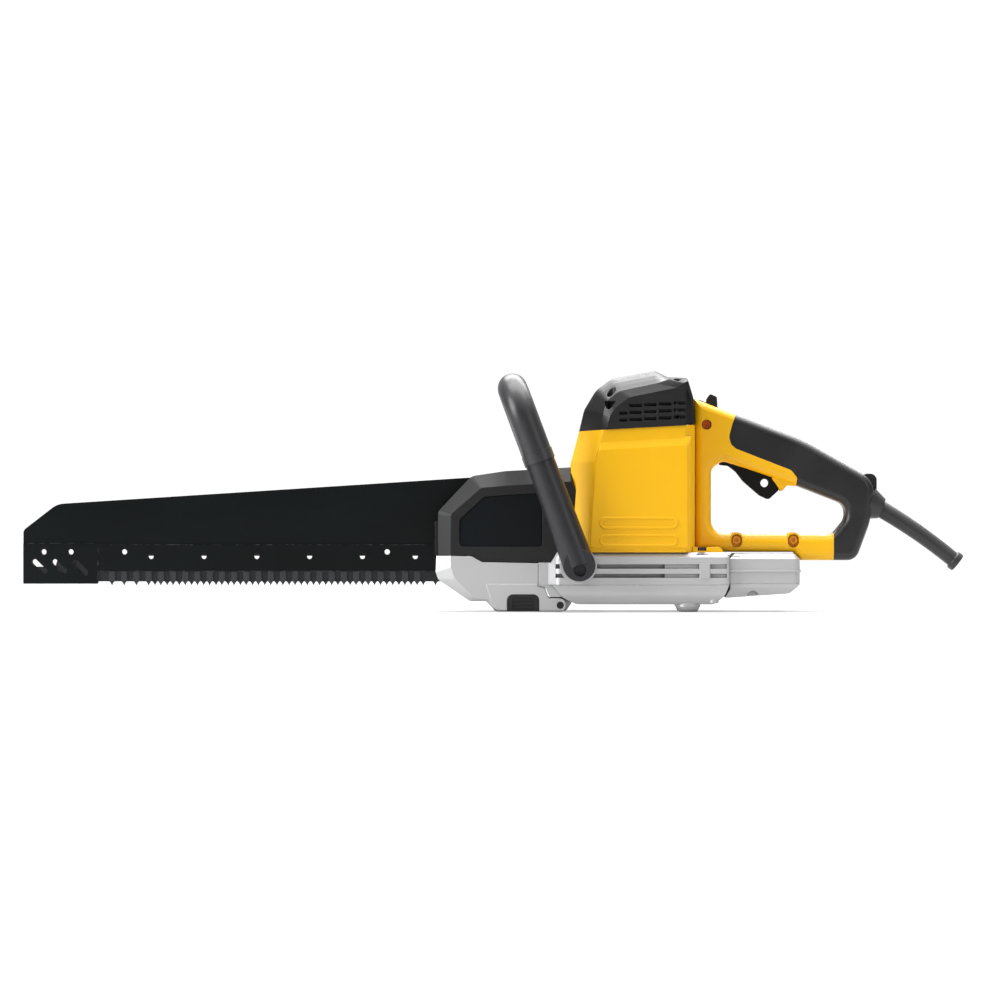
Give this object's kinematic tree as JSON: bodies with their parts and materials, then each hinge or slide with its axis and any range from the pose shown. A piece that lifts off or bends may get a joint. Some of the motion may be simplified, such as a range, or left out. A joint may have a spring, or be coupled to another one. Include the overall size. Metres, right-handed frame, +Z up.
{
  "type": "reciprocating saw",
  "caption": "Mains-powered masonry saw with two counter-stroking carbide-toothed blades under a long fixed guide bar, a bail front handle and a closed rear handle.",
  "frame": {"origin": "on the ground plane under the middle of the tool's whole length, on its mid-plane", "axes": "+Z up; -X along the guide bar towards the blade tips, +X towards the cord; +Y towards the tool's right side"},
  "size_m": [0.9805, 0.1648, 0.2501],
  "materials": {
    "bar_black": "smooth black stove enamel",
    "blade_steel": "black oxide with bare edges",
    "carbide": "ground carbide, dark grey",
    "machined_steel": "machined and oiled",
    "bronze": "sintered bronze",
    "core_steel": "lacquered lamination stack",
    "copper": "enamelled copper",
    "carbon": "pressed carbon",
    "brush_brass": "pressed brass",
    "black_plastic": "fine-grained moulded plastic",
    "yellow_plastic": "satin moulded plastic",
    "cast_silver": "silver powder coat on die casting",
    "black_rubber": "soft-touch rubber, fine grain",
    "handle_grey": "dark grey moulded nylon",
    "dark_screws": "black oxide"
  },
  "bodies": {
    "frame_body": {"guide_bar_core": "bar_black", "rail_plate_left": "bar_black", "rail_plate_right": "bar_black", "nose_plate_left": "bar_black", "nose_plate_right": "bar_black", "bar_clamp_bolts": "machined_steel", "rod_bushings": "bronze", "crank_bearings": "machined_steel", "motor_bearings": "machined_steel", "stator_core": "core_steel", "field_coils": "copper", "carbon_brushes": "carbon", "brush_holders": "brush_brass", "bearing_bridge": "black_plastic", "motor_housing": "yellow_plastic", "housing_screws": "dark_screws", "top_cap": "black_plastic", "cap_screws": "dark_screws", "front_guard_left": "black_plastic", "front_guard_right": "black_plastic", "gear_case": "cast_silver", "case_bottom_cover": "cast_silver", "case_screws": "machined_steel", "rear_extension": "cast_silver", "extension_cover": "cast_silver", "rear_grip": "black_rubber", "handle_shell_left": "yellow_plastic", "handle_shell_right": "yellow_plastic", "handle_screws": "dark_screws", "switch_module": "black_plastic", "trigger_pin": "machined_steel", "cord_hook": "black_plastic", "cord_gland": "black_rubber", "cord_sleeve": "black_rubber", "front_handle": "handle_grey", "front_handle_grip": "black_rubber", "front_handle_collars": "handle_grey", "front_handle_bolts": "dark_screws", "door_hinge_pin": "machined_steel"},
    "armature": {"armature_shaft": "machined_steel", "armature_core": "core_steel", "armature_windings": "copper", "commutator": "copper", "fan": "black_plastic"},
    "crank": {"crank_gear": "machined_steel", "crankshaft": "machined_steel"},
    "left_blade": {"yoke_left": "machined_steel", "blade_left": "blade_steel", "teeth_left": "carbide", "blade_bolts_left": "machined_steel"},
    "right_blade": {"yoke_right": "machined_steel", "blade_right": "blade_steel", "teeth_right": "carbide", "blade_bolts_right": "machined_steel"},
    "trigger": {"trigger": "black_plastic"},
    "lock_off": {"lock_off_button": "black_plastic"},
    "door": {"front_door": "cast_silver"},
    "latch_l": {"latch_left": "black_plastic"},
    "latch_r": {"latch_right": "black_plastic"}
  },
  "joints": [
    {"name": "armature_spin", "type": "hinge", "parent": "frame_body", "child": "armature", "pos_m": [0.15, 0, 0.1], "axis": [0, 0, 1], "range_deg": [0, 1080]},
    {"name": "crank_spin", "type": "hinge", "parent": "frame_body", "child": "crank", "pos_m": [0.19812, 0, 0.04], "axis": [0, 0, 1], "range_deg": [-180, 0]},
    {"name": "left_blade_slide", "type": "slide", "parent": "frame_body", "child": "left_blade", "axis": [1, 0, 0], "range_m": [0, 0.04]},
    {"name": "right_blade_slide", "type": "slide", "parent": "frame_body", "child": "right_blade", "axis": [1, 0, 0], "range_m": [-0.04, 0]},
    {"name": "trigger_squeeze", "type": "hinge", "parent": "frame_body", "child": "trigger", "pos_m": [0.2386, 0, 0.158], "axis": [0, -1, 0], "range_deg": [0, 7.5], "stiffness_Nm_per_rad": 1.2},
    {"name": "lock_off_slide", "type": "slide", "parent": "frame_body", "child": "lock_off", "axis": [-0.9277, 0, 0.3733], "range_m": [0, 0.006], "stiffness_N_per_m": 400},
    {"name": "door_swing", "type": "hinge", "parent": "frame_body", "child": "door", "pos_m": [0.0692, 0, 0.0068], "axis": [0, -1, 0], "range_deg": [0, 60]},
    {"name": "left_latch_press", "type": "slide", "parent": "door", "child": "latch_l", "axis": [0, 1, 0], "range_m": [0, 0.0026], "stiffness_N_per_m": 800},
    {"name": "right_latch_press", "type": "slide", "parent": "door", "child": "latch_r", "axis": [0, -1, 0], "range_m": [0, 0.0026], "stiffness_N_per_m": 800}
  ],
  "couplings": [
    {"joint": "crank_spin", "follows": "armature_spin", "ratio": -0.16667},
    {"joint": "left_blade_slide", "follows": "armature_spin", "m_per_rad": 0.0021221},
    {"joint": "right_blade_slide", "follows": "armature_spin", "m_per_rad": -0.0021221}
  ]
}
